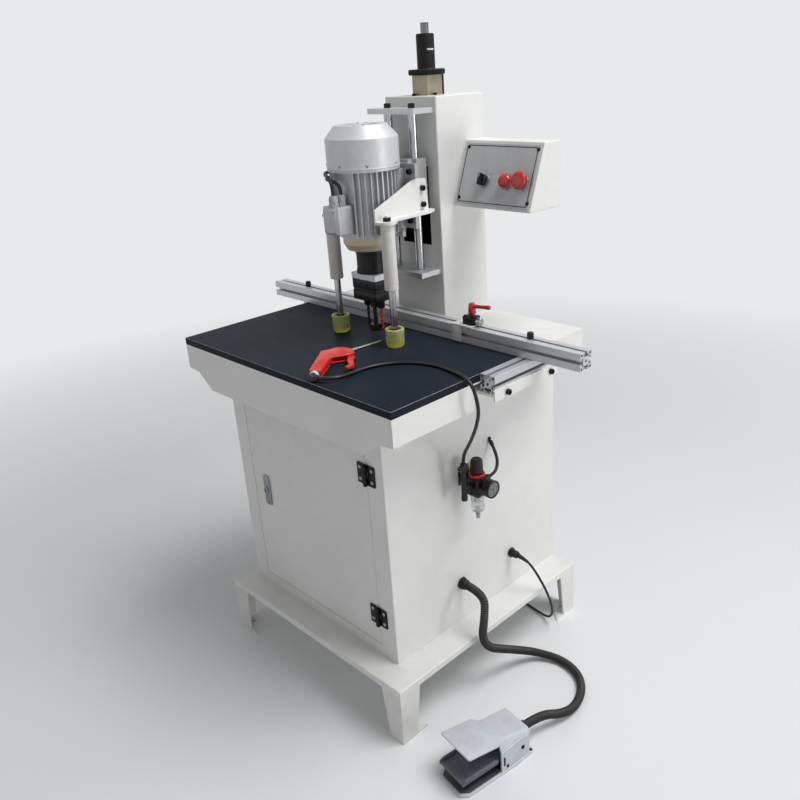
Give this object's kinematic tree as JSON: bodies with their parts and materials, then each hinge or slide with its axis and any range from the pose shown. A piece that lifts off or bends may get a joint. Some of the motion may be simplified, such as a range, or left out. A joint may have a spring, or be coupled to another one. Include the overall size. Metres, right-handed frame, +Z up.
{
  "type": "hinge boring machine",
  "caption": "Free-standing boring machine for cabinet hinges: cabinet, table with slotted fence, motor head with geared spindles on a column, pneumatic hold-downs, blow gun and foot switch.",
  "frame": {"origin": "centre of the four anchor holes, on the floor under the feet", "axes": "+Z up, +X to the right along the fence, -Y to the front where the door is"},
  "size_m": [1.092, 0.6882, 1.54],
  "materials": {
    "white_paint": "satin",
    "door_paint": "satin",
    "board_black": "gloss",
    "profile_alu": "satin",
    "steel": "brushed",
    "chrome": "polished",
    "black_metal": "satin",
    "black_plastic": "matt",
    "motor_grey": "satin",
    "cowl_silver": "satin",
    "flange_tan": "cast",
    "head_tan": "satin",
    "pad_green": "translucent",
    "red_plastic": "gloss",
    "gun_orange": "gloss",
    "bowl_clear": "clear",
    "reg_grey": "satin",
    "brass": "satin",
    "rubber": "matt",
    "pedal_grey": "satin",
    "panel_grey": "satin",
    "treadle_grey": "satin",
    "gear_grey": "matt"
  },
  "bodies": {
    "machine": {"base_plate": "white_paint", "base_feet": "white_paint", "cabinet_shell": "white_paint", "control_gear": "gear_grey", "table_frame": "white_paint", "table_board": "board_black", "column": "white_paint", "guide_rods": "chrome", "machine_screws": "black_metal", "feed_cylinder": "head_tan", "control_box": "white_paint", "control_panel": "panel_grey", "side_rail": "profile_alu", "regulator_body": "reg_grey", "filter_bowl": "bowl_clear", "air_fittings": "brass", "air_tube": "black_plastic", "air_hose": "black_plastic", "gun_body": "gun_orange", "cable_glands": "black_plastic", "conduit": "black_plastic", "pedal_housing": "pedal_grey", "power_cable": "rubber", "cable_coil": "rubber", "plug": "black_plastic", "hinge_leaves_fixed": "black_metal"},
    "door": {"cabinet_door": "door_paint", "hinge_leaves_door": "black_metal"},
    "latch": {"door_latch": "steel"},
    "head": {"carriage": "motor_grey", "motor_body": "motor_grey", "fan_cowl": "cowl_silver", "terminal_box": "motor_grey", "motor_leads": "rubber", "coupling_housing": "black_metal", "adapter_plate": "profile_alu", "gearbox": "black_metal", "clamp_arms": "white_paint", "clamp_cylinders": "white_paint", "head_bolts": "black_metal", "feed_rod": "chrome"},
    "depth_stop": {"depth_stop": "black_metal"},
    "drive": {"drive_spindle": "steel"},
    "left_drill": {"left_spindle": "steel"},
    "right_drill": {"right_spindle": "steel"},
    "left_clamp": {"left_clamp_rod": "steel", "left_clamp_pad": "pad_green"},
    "right_clamp": {"right_clamp_rod": "steel", "right_clamp_pad": "pad_green"},
    "fence": {"fence_rail": "profile_alu"},
    "left_lock": {"left_fence_knob": "black_plastic"},
    "right_lock": {"right_fence_knob": "black_plastic"},
    "stop": {"stop_carrier": "black_metal"},
    "lever": {"stop_lever": "red_plastic"},
    "selector": {"selector_knob": "black_plastic"},
    "start": {"start_button": "red_plastic"},
    "estop": {"estop_button": "red_plastic"},
    "pressure": {"regulator_knob": "black_plastic"},
    "treadle": {"pedal_treadle": "treadle_grey"},
    "trigger": {"gun_trigger": "gun_orange"}
  },
  "joints": [
    {"name": "head_feed", "type": "slide", "parent": "machine", "child": "head", "axis": [0, 0, 1], "range_m": [0, 0.06]},
    {"name": "depth_set", "type": "slide", "parent": "head", "child": "depth_stop", "axis": [0, 0, 1], "range_m": [0, 0.02]},
    {"name": "left_clamp_stroke", "type": "slide", "parent": "head", "child": "left_clamp", "axis": [0, 0, 1], "range_m": [0, 0.045]},
    {"name": "right_clamp_stroke", "type": "slide", "parent": "head", "child": "right_clamp", "axis": [0, 0, 1], "range_m": [0, 0.045]},
    {"name": "drive_turn", "type": "hinge", "parent": "head", "child": "drive", "pos_m": [0, -0.028, 1], "axis": [0, 0, 1], "continuous": true},
    {"name": "left_drill_turn", "type": "hinge", "parent": "head", "child": "left_drill", "pos_m": [-0.024, -0.028, 0.95], "axis": [0, 0, 1], "continuous": true},
    {"name": "right_drill_turn", "type": "hinge", "parent": "head", "child": "right_drill", "pos_m": [0.024, -0.028, 0.95], "axis": [0, 0, 1], "continuous": true},
    {"name": "door_hinge", "type": "hinge", "parent": "machine", "child": "door", "pos_m": [0.212, -0.277, 0.45], "axis": [0, 0, 1], "range_deg": [0, 110]},
    {"name": "latch_turn", "type": "hinge", "parent": "door", "child": "latch", "pos_m": [-0.193, -0.271, 0.457], "axis": [0, -1, 0], "range_deg": [0, 90]},
    {"name": "fence_set", "type": "slide", "parent": "machine", "child": "fence", "axis": [0, 1, 0], "range_m": [-0.045, 0.035]},
    {"name": "left_lock_turn", "type": "hinge", "parent": "fence", "child": "left_lock", "pos_m": [-0.386, 0.066, 0.895], "axis": [0, 0, 1], "range_deg": [0, 360]},
    {"name": "right_lock_turn", "type": "hinge", "parent": "fence", "child": "right_lock", "pos_m": [0.3965, 0.066, 0.895], "axis": [0, 0, 1], "range_deg": [0, 360]},
    {"name": "stop_set", "type": "slide", "parent": "fence", "child": "stop", "axis": [1, 0, 0], "range_m": [-0.1, 0.08]},
    {"name": "lever_turn", "type": "hinge", "parent": "stop", "child": "lever", "pos_m": [0.229, 0.066, 0.93], "axis": [0, 0, 1], "range_deg": [-90, 90]},
    {"name": "selector_turn", "type": "hinge", "parent": "machine", "child": "selector", "pos_m": [0.168, 0.19256, 1.19489], "axis": [0, -0.9358, 0.3525], "range_deg": [-45, 45]},
    {"name": "start_press", "type": "slide", "parent": "machine", "child": "start", "axis": [0, 0.9358, -0.3525], "range_m": [0, 0.004], "stiffness_N_per_m": 900, "springref_m": -0.002},
    {"name": "estop_press", "type": "slide", "parent": "machine", "child": "estop", "axis": [0, 0.9358, -0.3525], "range_m": [0, 0.005]},
    {"name": "pressure_turn", "type": "hinge", "parent": "machine", "child": "pressure", "pos_m": [0.312, -0.028, 0.59], "axis": [0, 0, 1], "range_deg": [-135, 135]},
    {"name": "treadle_press", "type": "hinge", "parent": "machine", "child": "treadle", "pos_m": [0.52126, -0.17689, 0.037], "axis": [0.9877, -0.1564, 0], "range_deg": [0, 8], "stiffness_Nm_per_rad": 12, "springref_deg": -5.73},
    {"name": "trigger_pull", "type": "hinge", "parent": "machine", "child": "trigger", "pos_m": [0.093, -0.19, 0.86], "axis": [0, 0, -1], "range_deg": [0, 12], "stiffness_Nm_per_rad": 1.2, "springref_deg": -5.73}
  ],
  "couplings": [
    {"joint": "left_drill_turn", "follows": "drive_turn", "ratio": -1},
    {"joint": "right_drill_turn", "follows": "drive_turn", "ratio": -1}
  ]
}
